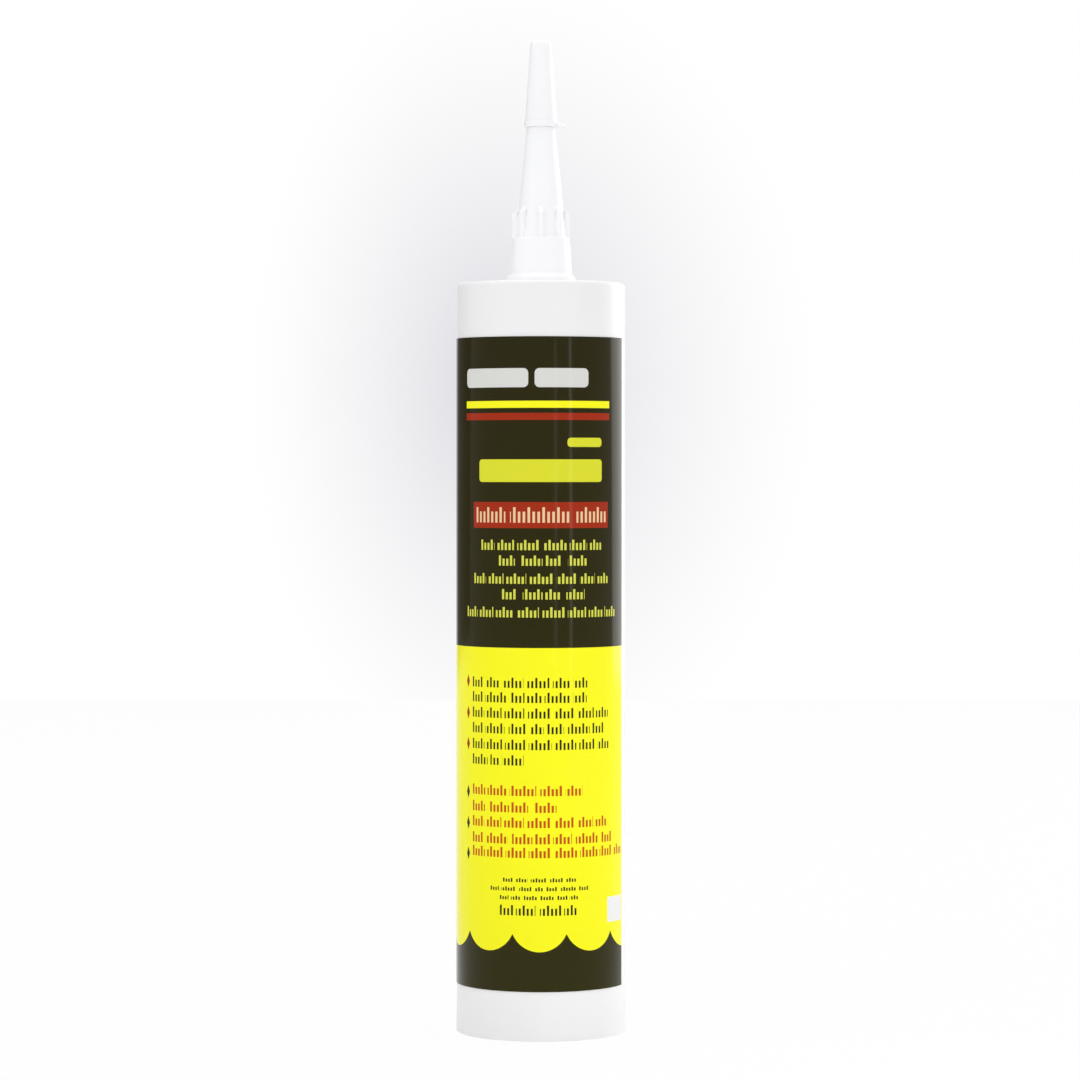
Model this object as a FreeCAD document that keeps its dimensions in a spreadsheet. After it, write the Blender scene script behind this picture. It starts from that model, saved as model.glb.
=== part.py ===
import FreeCAD, Part
import os

import Sketcher

# A 310 ml caulk cartridge standing on its open rear rim, +Z up through the nozzle.
# The origin is the centre of the rim, the front of the label faces -Y, lengths are in millimetres.

document = FreeCAD.newDocument("caulk_tube")
sizes = document.addObject("Spreadsheet::Sheet", "Sizes")

drivingDimensions = [
    ("barrelDiameter", 48.3, "outside of the barrel"),
    ("barrelWall", 0.95, "barrel wall"),
    ("barrelLength", 215.0, "rear rim to the outer face of the head"),
    ("headThickness", 1.8, "closed front end of the barrel"),
    ("shoulderRound", 1.2, "outer round between barrel and head"),
    ("insideBevel", 1.0, "inner bevel between barrel and head"),
    ("rearRelief", 0.3, "how far the rear end is opened out so that the piston can be pressed in"),
    ("rearBoreDepth", 12.0, "depth of the relieved rear end"),
    ("rearFlare", 0.25, "how far the outside of the rear end flares out over that depth"),
    ("rearLeadIn", 0.2, "chamfer inside the rear rim"),
    ("bossDiameter", 20.6, "low boss in the middle of the head, the nozzle's seat"),
    ("bossHeight", 0.4, "how far the boss stands above the head"),
    ("neckDiameter", 12.8, "core of the neck that the nozzle screws on"),
    ("neckHeight", 11.2, "neck above the head"),
    ("neckBore", 9.6, "bore of the neck"),
    ("neckRootBevel", 0.5, "bevel where the neck leaves the boss"),
    ("neckEdgeBevel", 0.6, "bevel on the neck's end"),
    ("membrane", 0.6, "closed end of the neck, cut off before use"),
    ("pistonDepth", 15.0, "rear rim to the piston's skirt"),
    ("pistonHeight", 14.8, "skirt edge to the face that bears on the sealant"),
    ("pistonClearance", 0.08, "radial running clearance of the piston's lips"),
    ("pistonFace", 1.5, "thickness of the piston's face"),
    ("lipHeight", 1.8, "height of each sealing lip"),
    ("lipDepth", 0.6, "how far the lips stand out from the skirt"),
    ("skirtWall", 1.1, "wall of the skirt between the lips"),
    ("hubDiameter", 14.4, "ring in the middle of the piston's underside"),
    ("hubWall", 1.2, "wall of that ring"),
    ("pistonRibSetback", 3.6, "skirt edge to the lower edges of the ribs"),
    ("pistonRibWidth", 1.0, "thickness of a piston rib"),
    ("pistonRibCount", 8, "ribs under the piston's face"),
    ("threadAllowance", 0.85, "radial room for the thread between neck and socket"),
    ("socketRoom", 0.6, "room above the neck inside the nozzle's socket"),
    ("flangeWall", 2.7, "foot of the nozzle, from the socket outwards"),
    ("flangeThickness", 1.2, "edge thickness of that foot"),
    ("flangeFlare", 1.1, "height of the flare from the foot to the collar"),
    ("collarFootWall", 1.65, "wall of the collar just above the flare"),
    ("collarTopWall", 1.1, "wall of the collar at its upper edge"),
    ("collarHeight", 12.6, "upper edge of the collar above the nozzle's foot"),
    ("collarEdgeBevel", 0.3, "bevel on the collar's upper edge"),
    ("coneFootBore", 12.4, "bore of the cone above the socket"),
    ("coneFootWall", 1.1, "wall of the cone at the collar's upper edge"),
    ("nozzleLength", 67.3, "nozzle from its foot to its tip"),
    ("tipBore", 1.8, "bore of the tip"),
    ("tipWall", 0.82, "wall at the tip"),
    ("gripRibInset", 0.15, "how far the grip ribs stay inside the collar's upper edge"),
    ("gripRibHeight", 7.2, "straight part of a grip rib above the collar"),
    ("gripRibBevel", 3.2, "height of the bevel at a grip rib's top"),
    ("gripRibWidth", 1.3, "thickness of a grip rib"),
    ("gripRibSink", 0.45, "how deep a grip rib is rooted in the cone's wall"),
    ("gripRibCount", 8, "grip ribs round the cone's foot"),
    ("capHold", 22.9, "length of the cone that the cap covers"),
    ("capEndWall", 1.6, "thickness of the cap's closed end"),
    ("capClearance", 0.08, "radial slip clearance of the cap on the cone"),
    ("capTipRoom", 0.3, "room between the nozzle's tip and the cap's end wall"),
    ("capBeadWall", 0.7, "wall of the cap with the bead round its mouth"),
    ("capBeadHeight", 1.6, "height of that bead"),
    ("capFootWall", 0.45, "wall of the cap just above the bead"),
    ("capEndSideWall", 1.2, "wall of the cap beside the nozzle's tip"),
    ("capEndBevel", 0.9, "bevel on the closed end"),
    ("capPinClearance", 0.15, "radial room round the pin that plugs the tip"),
    ("capPinLength", 3.0, "length of that pin"),
    ("tabReach", 2.15, "how far the thumb tab stands out from the bead"),
    ("tabWidth", 4.0, "width of the thumb tab"),
    ("tabThickness", 1.2, "thickness of the thumb tab"),
    ("tabRound", 1.5, "round on the thumb tab's corners"),
    ("labelGlue", 0.05, "glue between the barrel and the label"),
    ("labelFilm", 0.12, "thickness of the label"),
    ("inkThickness", 0.08, "how far a printed field stands out, more than real ink does"),
    ("inkGap", 0.01, "gap between the film and a printed field, which keeps them two solids"),
    ("labelBottom", 14.0, "rear rim to the lower edge of the label"),
    ("labelTopMargin", 15.95, "bare barrel between the label and the head"),
    ("labelStart", 7.0, "bare gap's end, in degrees from +X towards the back"),
    ("labelSpan", 334.0, "how far the label reaches round, in degrees"),
    ("scallopRise", 11.3, "lower edge of the label to the lowest points of the scallops"),
    ("scallopDepth", 4.9, "lowest points to the points between the scallops"),
    ("scallopRadius", 8.5, "radius of a scallop"),
    ("scallopPitch", 36.6, "angle from one scallop to the next"),
    ("scallopStart", -17.8, "middle of the first scallop, in degrees from +X"),
    ("fieldHeight", 85.9, "height of the yellow field with its scallops"),
    ("barDrop", 46.7, "upper edge of the label to the red bar"),
    ("barHeight", 7.35, "height of the red bar"),
    ("barSpan", 105.4, "angle covered by the red bar"),
    ("redStripeDrop", 21.55, "upper edge of the label to the red stripe"),
    ("yellowStripeDrop", 18.15, "upper edge of the label to the yellow stripe"),
    ("stripeHeight", 2.0, "height of a stripe"),
    ("stripeSpan", 112.5, "angle covered by a stripe"),
    ("stripeTurn", -3.7, "middle of the stripes, in degrees from the front towards +X"),
    ("barTurn", 0.0, "middle of the red bar, in degrees from the front towards +X"),
]

for row, (alias, number, note) in enumerate(drivingDimensions, start=1):
    sizes.set(f"A{row}", alias)
    sizes.set(f"B{row}", str(number))
    sizes.set(f"C{row}", note)
    sizes.setAlias(f"B{row}", alias)
document.recompute()


# Lengths that follow from the driving dimensions, as expressions on the sheet.

barrelRadius = "(Sizes.barrelDiameter / 2)"
boreRadius = f"({barrelRadius} - Sizes.barrelWall)"
rearBoreRadius = f"({boreRadius} + Sizes.rearRelief)"
rimRadius = f"({barrelRadius} + Sizes.rearFlare)"
headInside = "(Sizes.barrelLength - Sizes.headThickness)"
neckRadius = "(Sizes.neckDiameter / 2)"
neckBoreRadius = "(Sizes.neckBore / 2)"
neckEnd = "(Sizes.barrelLength + Sizes.neckHeight)"
membraneInside = f"({neckEnd} - Sizes.membrane)"

pistonFaceHeight = "(Sizes.pistonDepth + Sizes.pistonHeight)"
lipRadius = f"({boreRadius} - Sizes.pistonClearance)"
skirtRadius = f"({lipRadius} - Sizes.lipDepth)"
skirtInsideRadius = f"({skirtRadius} - Sizes.skirtWall)"
pistonCeiling = "(Sizes.pistonHeight - Sizes.pistonFace)"
hubRadius = "(Sizes.hubDiameter / 2)"
hubInsideRadius = f"({hubRadius} - Sizes.hubWall)"

bossRadius = "(Sizes.bossDiameter / 2)"
bossFace = "(Sizes.barrelLength + Sizes.bossHeight)"
socketRadius = f"({neckRadius} + Sizes.threadAllowance)"
socketDepth = "(Sizes.neckHeight - Sizes.bossHeight + Sizes.socketRoom)"
flangeRadius = f"({socketRadius} + Sizes.flangeWall)"
collarFootRadius = f"({socketRadius} + Sizes.collarFootWall)"
collarTopRadius = f"({socketRadius} + Sizes.collarTopWall)"
coneBoreRadius = "(Sizes.coneFootBore / 2)"
coneFootRadius = f"({coneBoreRadius} + Sizes.coneFootWall)"
tipBoreRadius = "(Sizes.tipBore / 2)"
tipRadius = f"({tipBoreRadius} + Sizes.tipWall)"
coneRise = "(Sizes.nozzleLength - Sizes.collarHeight)"
gripRibRadius = f"({collarTopRadius} - Sizes.gripRibInset)"
gripRibTop = "(Sizes.collarHeight + Sizes.gripRibHeight)"
gripRibEnd = f"({gripRibTop} + Sizes.gripRibBevel)"


def coneRadiusAt(height):
    # Outer radius of the nozzle's cone at a height above its foot.
    return f"({coneFootRadius} - ({coneFootRadius} - {tipRadius}) * ({height} - Sizes.collarHeight) / {coneRise})"


capSeat = "(Sizes.nozzleLength - Sizes.capHold)"
cavityTop = "(Sizes.capHold + Sizes.capTipRoom)"
capEnd = f"({cavityTop} + Sizes.capEndWall)"
capMouthRadius = f"({coneRadiusAt(capSeat)} + Sizes.capClearance)"
capTopRadius = f"({tipRadius} + Sizes.capClearance)"
capBeadRadius = f"({capMouthRadius} + Sizes.capBeadWall)"
capFootRadius = f"({capMouthRadius} + Sizes.capFootWall)"
capEndRadius = f"({capTopRadius} + Sizes.capEndSideWall)"
capPinRadius = f"({tipBoreRadius} - Sizes.capPinClearance)"
tabEnd = f"({capBeadRadius} + Sizes.tabReach)"

labelInsideRadius = f"({barrelRadius} + Sizes.labelGlue)"
labelRadius = f"({labelInsideRadius} + Sizes.labelFilm)"
inkInsideRadius = f"({labelRadius} + Sizes.inkGap)"
inkRadius = f"({inkInsideRadius} + Sizes.inkThickness)"
labelTop = "(Sizes.barrelLength - Sizes.labelTopMargin)"
scallopBottom = "(Sizes.labelBottom + Sizes.scallopRise)"

# How close an edge has to lie to the place it is looked for.
edgeMatch = 0.001


def value(expression):
    return float(sizes.evalExpression(expression))


# Sketches: every corner is held by its distance from the origin, taken from the sheet.

def originPlane(body, role):
    return next(plane for plane in body.Origin.OriginFeatures if plane.Role == role)


def bindCoordinate(sketch, direction, corner, expression):
    if expression == "0":
        axis = -2 if direction == "DistanceX" else -1
        sketch.addConstraint(Sketcher.Constraint("PointOnObject", corner, 1, axis))
        return
    row = sketch.addConstraint(Sketcher.Constraint(direction, -1, 1, corner, 1, value(expression)))
    sketch.setExpression(f"Constraints[{row}]", expression)


def outlineSketch(body, name, role, corners):
    sketch = body.newObject("Sketcher::SketchObject", name)
    sketch.AttachmentSupport = (originPlane(body, role), [""])
    sketch.MapMode = "FlatFace"
    points = [FreeCAD.Vector(value(across), value(along), 0) for across, along in corners]
    for index, start in enumerate(points):
        end = points[(index + 1) % len(points)]
        sketch.addGeometry(Part.LineSegment(start, end), False)
    for index, (across, along) in enumerate(corners):
        previous = (index - 1) % len(corners)
        sketch.addConstraint(Sketcher.Constraint("Coincident", previous, 2, index, 1))
        bindCoordinate(sketch, "DistanceX", index, across)
        bindCoordinate(sketch, "DistanceY", index, along)
    return sketch


# Features that several sub-parts use.

def newBody(label, height):
    body = document.addObject("PartDesign::Body", label)
    body.Label = label
    body.setExpression("Placement.Base.z", height)
    return body


def turned(body, name, corners):
    sketch = outlineSketch(body, name + "Profile", "XZ_Plane", corners)
    feature = body.newObject("PartDesign::Revolution", name)
    feature.Profile = sketch
    feature.ReferenceAxis = (sketch, ["V_Axis"])
    feature.Angle = 360
    document.recompute()
    return feature


def ringEdges(shape, rings):
    # Names of the round edges that lie at the given radii and heights.
    names = []
    for number, edge in enumerate(shape.Edges, start=1):
        if not isinstance(edge.Curve, Part.Circle):
            continue
        for radius, height in rings:
            sameRadius = abs(edge.Curve.Radius - value(radius)) < edgeMatch
            sameHeight = abs(edge.Curve.Center.z - value(height)) < edgeMatch
            if sameRadius and sameHeight:
                names.append(f"Edge{number}")
    return names


def bevelled(body, name, base, width, edges):
    feature = body.newObject("PartDesign::Chamfer", name)
    feature.Base = (base, edges)
    feature.setExpression("Size", width)
    document.recompute()
    return feature


def rounded(body, name, base, radius, edges):
    feature = body.newObject("PartDesign::Fillet", name)
    feature.Base = (base, edges)
    feature.setExpression("Radius", radius)
    document.recompute()
    return feature


def ribsAround(body, name, corners, width, count):
    # One flat rib in the XZ plane, half its width to each side, repeated round the axis.
    sketch = outlineSketch(body, name + "Outline", "XZ_Plane", corners)
    rib = body.newObject("PartDesign::Pad", name)
    rib.Profile = sketch
    rib.SideType = "Symmetric"
    rib.setExpression("Length", width)
    document.recompute()
    ring = body.newObject("PartDesign::PolarPattern", name + "Ring")
    ring.Originals = [rib]
    ring.Axis = (sketch, ["V_Axis"])
    ring.Angle = 360
    ring.setExpression("Occurrences", count)
    body.Tip = ring
    document.recompute()
    return ring


# The barrel, its head and the neck are one moulding.

def cartridgeTube():
    body = newBody("cartridge_tube", "0")
    shell = turned(body, "Shell", [
        (f"{rearBoreRadius} + Sizes.rearLeadIn", "0"),
        (rimRadius, "0"),
        (barrelRadius, "Sizes.rearBoreDepth"),
        (barrelRadius, "Sizes.barrelLength"),
        (bossRadius, "Sizes.barrelLength"),
        (bossRadius, bossFace),
        (neckRadius, bossFace),
        (neckRadius, neckEnd),
        ("0", neckEnd),
        ("0", membraneInside),
        (neckBoreRadius, membraneInside),
        (neckBoreRadius, headInside),
        (boreRadius, headInside),
        (boreRadius, "Sizes.rearBoreDepth"),
        (rearBoreRadius, "Sizes.rearBoreDepth"),
        (rearBoreRadius, "Sizes.rearLeadIn"),
    ])
    shoulder = rounded(body, "Shoulder", shell, "Sizes.shoulderRound",
                       ringEdges(shell.Shape, [(barrelRadius, "Sizes.barrelLength")]))
    inside = bevelled(body, "InsideCorner", shoulder, "Sizes.insideBevel",
                      ringEdges(shoulder.Shape, [(boreRadius, headInside)]))
    root = bevelled(body, "NeckRoot", inside, "Sizes.neckRootBevel",
                    ringEdges(inside.Shape, [(neckRadius, bossFace)]))
    bevelled(body, "NeckEdge", root, "Sizes.neckEdgeBevel",
             ringEdges(root.Shape, [(neckRadius, neckEnd)]))
    return body


# The piston: a cup with two sealing lips, braced inside by a hub and radial ribs.

def piston():
    body = newBody("piston", "Sizes.pistonDepth")
    turned(body, "Cup", [
        (skirtInsideRadius, "0"),
        (lipRadius, "0"),
        (lipRadius, "Sizes.lipHeight"),
        (skirtRadius, "Sizes.lipHeight + Sizes.lipDepth"),
        (skirtRadius, "Sizes.pistonHeight - Sizes.lipHeight - Sizes.lipDepth"),
        (lipRadius, "Sizes.pistonHeight - Sizes.lipHeight"),
        (lipRadius, "Sizes.pistonHeight"),
        ("0", "Sizes.pistonHeight"),
        ("0", pistonCeiling),
        (skirtInsideRadius, pistonCeiling),
    ])
    turned(body, "Hub", [
        (hubInsideRadius, "Sizes.pistonRibSetback"),
        (hubRadius, "Sizes.pistonRibSetback"),
        (hubRadius, f"{pistonCeiling} + Sizes.pistonFace / 2"),
        (hubInsideRadius, f"{pistonCeiling} + Sizes.pistonFace / 2"),
    ])
    ribsAround(body, "Brace", [
        (f"{hubRadius} - Sizes.hubWall / 2", "Sizes.pistonRibSetback"),
        (f"{skirtInsideRadius} + Sizes.skirtWall / 2", "Sizes.pistonRibSetback"),
        (f"{skirtInsideRadius} + Sizes.skirtWall / 2", f"{pistonCeiling} + Sizes.pistonFace / 2"),
        (f"{hubRadius} - Sizes.hubWall / 2", f"{pistonCeiling} + Sizes.pistonFace / 2"),
    ], "Sizes.pistonRibWidth", "Sizes.pistonRibCount")
    return body


# The sealant fills the barrel from the piston to the head, and the neck up to its membrane.

def sealant():
    body = newBody("sealant", "0")
    column = turned(body, "Column", [
        ("0", pistonFaceHeight),
        (boreRadius, pistonFaceHeight),
        (boreRadius, headInside),
        (neckBoreRadius, headInside),
        (neckBoreRadius, membraneInside),
        ("0", membraneInside),
    ])
    bevelled(body, "ColumnCorner", column, "Sizes.insideBevel",
             ringEdges(column.Shape, [(boreRadius, headInside)]))
    return body


# The nozzle: a socket over the neck, a foot and collar with grip ribs, and a hollow cone.

def nozzle():
    body = newBody("nozzle", bossFace)
    cone = turned(body, "Cone", [
        (socketRadius, "0"),
        (flangeRadius, "0"),
        (flangeRadius, "Sizes.flangeThickness"),
        (collarFootRadius, "Sizes.flangeThickness + Sizes.flangeFlare"),
        (collarTopRadius, "Sizes.collarHeight"),
        (coneFootRadius, "Sizes.collarHeight"),
        (tipRadius, "Sizes.nozzleLength"),
        (tipBoreRadius, "Sizes.nozzleLength"),
        (coneBoreRadius, socketDepth),
        (socketRadius, socketDepth),
    ])
    bevelled(body, "CollarEdge", cone, "Sizes.collarEdgeBevel",
             ringEdges(cone.Shape, [(collarTopRadius, "Sizes.collarHeight")]))
    ribsAround(body, "GripRib", [
        (f"{coneFootRadius} - Sizes.gripRibSink", "Sizes.collarHeight - Sizes.gripRibSink"),
        (gripRibRadius, "Sizes.collarHeight - Sizes.gripRibSink"),
        (gripRibRadius, gripRibTop),
        (coneRadiusAt(gripRibEnd), gripRibEnd),
        (f"{coneRadiusAt(gripRibEnd)} - Sizes.gripRibSink", gripRibEnd),
    ], "Sizes.gripRibWidth", "Sizes.gripRibCount")
    return body


# The cap slips over the cone; a pin in its end plugs the tip, a thumb tab pulls it off.

def nozzleCap():
    body = newBody("nozzle_cap", f"{bossFace} + {capSeat}")
    shell = turned(body, "CapShell", [
        (capMouthRadius, "0"),
        (capBeadRadius, "0"),
        (capBeadRadius, "Sizes.capBeadHeight"),
        (capFootRadius, "Sizes.capBeadHeight"),
        (capEndRadius, capEnd),
        ("0", capEnd),
        ("0", f"{cavityTop} - Sizes.capPinLength"),
        (capPinRadius, f"{cavityTop} - Sizes.capPinLength"),
        (capPinRadius, cavityTop),
        (capTopRadius, cavityTop),
    ])
    bevelled(body, "CapEnd", shell, "Sizes.capEndBevel",
             ringEdges(shell.Shape, [(capEndRadius, capEnd)]))
    tabRoot = f"({capMouthRadius} + Sizes.capBeadWall / 2)"
    outline = outlineSketch(body, "TabOutline", "XY_Plane", [
        (tabRoot, "-Sizes.tabWidth / 2"),
        (tabEnd, "-Sizes.tabWidth / 2"),
        (tabEnd, "Sizes.tabWidth / 2"),
        (tabRoot, "Sizes.tabWidth / 2"),
    ])
    tab = body.newObject("PartDesign::Pad", "Tab")
    tab.Profile = outline
    tab.setExpression("Length", "Sizes.tabThickness")
    document.recompute()
    corners = [f"Edge{number}" for number, edge in enumerate(tab.Shape.Edges, start=1)
               if isTabCorner(edge)]
    rounded(body, "TabCorners", tab, "Sizes.tabRound", corners)
    return body


def isTabCorner(edge):
    # The two upright edges at the free end of the thumb tab.
    if not isinstance(edge.Curve, Part.Line):
        return False
    middle = edge.BoundBox.Center
    atEnd = abs(middle.x - value(tabEnd)) < edgeMatch
    return atEnd and abs(abs(middle.y) - value("Sizes.tabWidth / 2")) < edgeMatch


# The label is a film wrapped round the barrel with a bare gap. Its ground is dark, and each printed
# field of another colour is a thin skin on it.

def wedge(name, radius, bottom, height, start, span):
    cylinder = document.addObject("Part::Cylinder", name)
    cylinder.setExpression("Radius", radius)
    cylinder.setExpression("Height", height)
    cylinder.setExpression("Angle", span)
    cylinder.setExpression("Placement.Base.z", bottom)
    cylinder.setExpression("Placement.Rotation.Angle", start)
    return cylinder


def wrapped(name, insideRadius, outsideRadius, bottom, height, start, span):
    film = document.addObject("Part::Cut", name)
    film.Base = wedge(name + "_outside", outsideRadius, bottom, height, start, span)
    film.Tool = wedge(name + "_inside", insideRadius, bottom, height, "0", "360")
    film.Label = name
    return film


def labelFilm():
    return wrapped("label", labelInsideRadius, labelRadius, "Sizes.labelBottom",
                   f"{labelTop} - Sizes.labelBottom", "Sizes.labelStart", "Sizes.labelSpan")


def frontField(name, drop, height, span, turn):
    # A printed field on the front of the label, hung from the label's upper edge.
    return wrapped(name, inkInsideRadius, inkRadius, f"{labelTop} - {drop} - {height}", height,
                   f"270 + {turn} - {span} / 2", span)


def scallopedField():
    # Its lower edge is a row of hanging scallops, each kept by a drum that points outwards.
    name = "label_yellow_field"
    ring = wrapped(name + "_ring", inkInsideRadius, inkRadius, scallopBottom, "Sizes.fieldHeight",
                   "Sizes.labelStart", "Sizes.labelSpan")
    straight = wedge(name + "_straight", f"2 * {inkRadius}", f"{scallopBottom} + Sizes.scallopDepth",
                     "Sizes.fieldHeight", "0", "360")
    drums = []
    for number in range(int(360 // value("Sizes.scallopPitch")) + 1):
        drum = document.addObject("Part::Cylinder", f"scallop_{number + 1}")
        drum.setExpression("Radius", "Sizes.scallopRadius")
        drum.setExpression("Height", f"2 * {inkRadius}")
        turn = f"rotation(vector(0; 0; 1); Sizes.scallopStart - {number} * Sizes.scallopPitch)"
        lay = "rotation(vector(0; 1; 0); 90)"
        centre = f"vector(0; 0; {scallopBottom} + Sizes.scallopRadius)"
        drum.setExpression("Placement", f"placement({centre}; {turn} * {lay})")
        drums.append(drum)
    kept = document.addObject("Part::MultiFuse", name + "_kept")
    kept.Shapes = [straight] + drums
    field = document.addObject("Part::Common", name)
    field.Base = ring
    field.Tool = kept
    field.Label = name
    return field


subParts = [
    cartridgeTube(),
    piston(),
    sealant(),
    nozzle(),
    nozzleCap(),
    labelFilm(),
    scallopedField(),
    frontField("label_red_bar", "Sizes.barDrop", "Sizes.barHeight", "Sizes.barSpan", "Sizes.barTurn"),
    frontField("label_red_stripe", "Sizes.redStripeDrop", "Sizes.stripeHeight", "Sizes.stripeSpan",
               "Sizes.stripeTurn"),
    frontField("label_yellow_stripe", "Sizes.yellowStripeDrop", "Sizes.stripeHeight", "Sizes.stripeSpan",
               "Sizes.stripeTurn"),
]
document.recompute()


# Every object has to be sound before anything is written.

for item in document.Objects:
    if "Invalid" in item.State or "Error" in item.State:
        raise RuntimeError(f"{item.Label} did not build: {item.State}")
for subPart in subParts:
    if subPart.Shape.isNull() or not subPart.Shape.isValid():
        raise RuntimeError(f"{subPart.Label} is not a valid solid")

os.makedirs("parts", exist_ok=True)
for subPart in subParts:
    subPart.Shape.exportStep(os.path.join("parts", subPart.Label + ".step"))
    print(f"{subPart.Label}: {len(subPart.Shape.Solids)} solid, {subPart.Shape.Volume / 1000:.2f} cm3")
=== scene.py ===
import math

import bmesh
import bpy
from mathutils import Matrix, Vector


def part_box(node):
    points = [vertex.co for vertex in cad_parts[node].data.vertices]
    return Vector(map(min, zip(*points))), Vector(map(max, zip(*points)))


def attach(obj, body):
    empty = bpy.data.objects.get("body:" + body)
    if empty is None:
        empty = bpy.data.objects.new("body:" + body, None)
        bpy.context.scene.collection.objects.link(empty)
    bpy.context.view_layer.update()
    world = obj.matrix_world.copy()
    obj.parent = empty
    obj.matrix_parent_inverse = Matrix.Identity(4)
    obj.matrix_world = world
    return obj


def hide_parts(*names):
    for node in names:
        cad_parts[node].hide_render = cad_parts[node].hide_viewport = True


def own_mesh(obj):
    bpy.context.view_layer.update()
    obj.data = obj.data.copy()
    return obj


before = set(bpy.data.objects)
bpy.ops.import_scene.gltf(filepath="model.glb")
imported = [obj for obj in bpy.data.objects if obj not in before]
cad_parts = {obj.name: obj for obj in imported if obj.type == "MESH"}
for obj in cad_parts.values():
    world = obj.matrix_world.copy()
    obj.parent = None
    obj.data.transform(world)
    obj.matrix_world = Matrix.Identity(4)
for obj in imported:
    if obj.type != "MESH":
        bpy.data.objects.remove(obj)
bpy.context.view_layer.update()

mm = 0.001
print("frame loaded")

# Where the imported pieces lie; every new piece takes its place from these.
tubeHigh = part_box("cartridge_tube")[1]
filmLow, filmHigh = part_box("label")
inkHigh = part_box("label_yellow_field")[1]
pasteLow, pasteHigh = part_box("sealant")
nozzleLow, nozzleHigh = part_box("nozzle")
capLow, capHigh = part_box("nozzle_cap")


# Modelling steps that several pieces share.

def selectOnly(piece):
    bpy.ops.object.select_all(action="DESELECT")
    piece.select_set(True)
    bpy.context.view_layer.objects.active = piece


def startPiece(name, addForm, **values):
    # A new primitive, open in edit mode with all of it selected.
    bpy.ops.object.select_all(action="DESELECT")
    addForm(**values)
    piece = bpy.context.object
    piece.name = name
    piece.data.name = name
    bpy.ops.object.mode_set(mode="EDIT")
    bpy.ops.mesh.select_all(action="SELECT")
    return piece


def openPiece(piece, selectMode):
    selectOnly(piece)
    bpy.ops.object.mode_set(mode="EDIT")
    bpy.ops.mesh.select_mode(type=selectMode)


def closePiece():
    # Faces are turned outwards before edit mode ends.
    bpy.ops.mesh.select_all(action="SELECT")
    bpy.ops.mesh.normals_make_consistent(inside=False)
    bpy.ops.object.mode_set(mode="OBJECT")


def selectWhere(piece, kind, wanted):
    # Edit mode is on; the kind is verts, edges or faces.
    form = bmesh.from_edit_mesh(piece.data)
    for part in getattr(form, kind):
        part.select_set(wanted(part))
    bmesh.update_edit_mesh(piece.data)


def selectEdges(piece, wanted):
    # Edit mode is on; an edge is taken when both of its ends are wanted.
    form = bmesh.from_edit_mesh(piece.data)
    for part in list(form.verts) + list(form.edges) + list(form.faces):
        part.select = False
    for edge in form.edges:
        if all(wanted(vertex.co) for vertex in edge.verts):
            edge.select_set(True)
    bmesh.update_edit_mesh(piece.data)


def onRing(radius, height, slack=0.004 * mm):
    def wanted(place):
        sameRadius = abs(math.hypot(place.x, place.y) - radius) < slack
        return sameRadius and abs(place.z - height) < slack
    return wanted


def turnRings(name, rings, segments):
    # A ring of vertices is drawn out from one (radius, height) to the next and closed at both ends.
    radius, height = rings[0]
    piece = startPiece(name, bpy.ops.mesh.primitive_circle_add, vertices=segments, radius=radius,
                       fill_type="NOTHING")
    bpy.ops.transform.translate(value=(0, 0, height))
    bpy.ops.mesh.select_mode(type="EDGE")
    bpy.ops.mesh.edge_face_add()
    for nextRadius, nextHeight in rings[1:]:
        rise = {"value": (0, 0, nextHeight - height)}
        selectEdges(piece, onRing(radius, height))
        bpy.ops.mesh.extrude_edges_move(TRANSFORM_OT_translate=rise)
        share = nextRadius / radius
        bpy.ops.transform.resize(value=(share, share, 1), center_override=(0, 0, nextHeight))
        radius, height = nextRadius, nextHeight
    bpy.ops.mesh.edge_face_add()
    closePiece()
    return piece


def roundRing(piece, radius, height, width, segments=3):
    openPiece(piece, "EDGE")
    selectEdges(piece, onRing(radius, height))
    bpy.ops.mesh.bevel(offset=width, offset_type="OFFSET", segments=segments, affect="EDGES")
    bpy.ops.object.mode_set(mode="OBJECT")


def smooth(piece, degrees=32):
    selectOnly(piece)
    bpy.ops.object.shade_smooth_by_angle(angle=math.radians(degrees))


def applyModifier(piece, kind, **values):
    selectOnly(piece)
    modifier = piece.modifiers.new(kind.title(), kind)
    for key, value in values.items():
        setattr(modifier, key, value)
    bpy.ops.object.modifier_apply(modifier=modifier.name)


def joinInto(piece, others):
    bpy.ops.object.select_all(action="DESELECT")
    for other in others:
        other.select_set(True)
    piece.select_set(True)
    bpy.context.view_layer.objects.active = piece
    bpy.ops.object.join()


def weld(piece, other):
    # The other form becomes one body with the piece.
    applyModifier(piece, "BOOLEAN", operation="UNION", solver="MANIFOLD", object=other)
    bpy.data.objects.remove(other)


def finishPiece(piece, body, material, nodes):
    piece.data.materials.clear()
    piece.data.materials.append(material)
    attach(piece, body)
    if nodes:
        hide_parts(*nodes)


# Node helpers: a group is built once and placed in each material with its own values.

ownTrees = []
nodeStep = (-200, -280)


def addNode(tree, kind, **values):
    node = tree.nodes.new(kind)
    for key, value in values.items():
        setattr(node, key, value)
    return node


def newGroup(name, inputs, outputs):
    # Gives the group, the sockets of what goes in and the sockets of what comes out.
    group = bpy.data.node_groups.new(name, "ShaderNodeTree")
    ownTrees.append(group)
    for label, kind, default in inputs:
        socket = group.interface.new_socket(name=label, in_out="INPUT", socket_type=kind)
        socket.default_value = default
    for label, kind in outputs:
        group.interface.new_socket(name=label, in_out="OUTPUT", socket_type=kind)
    given = addNode(group, "NodeGroupInput").outputs
    result = addNode(group, "NodeGroupOutput").inputs
    return group, given, result


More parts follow.
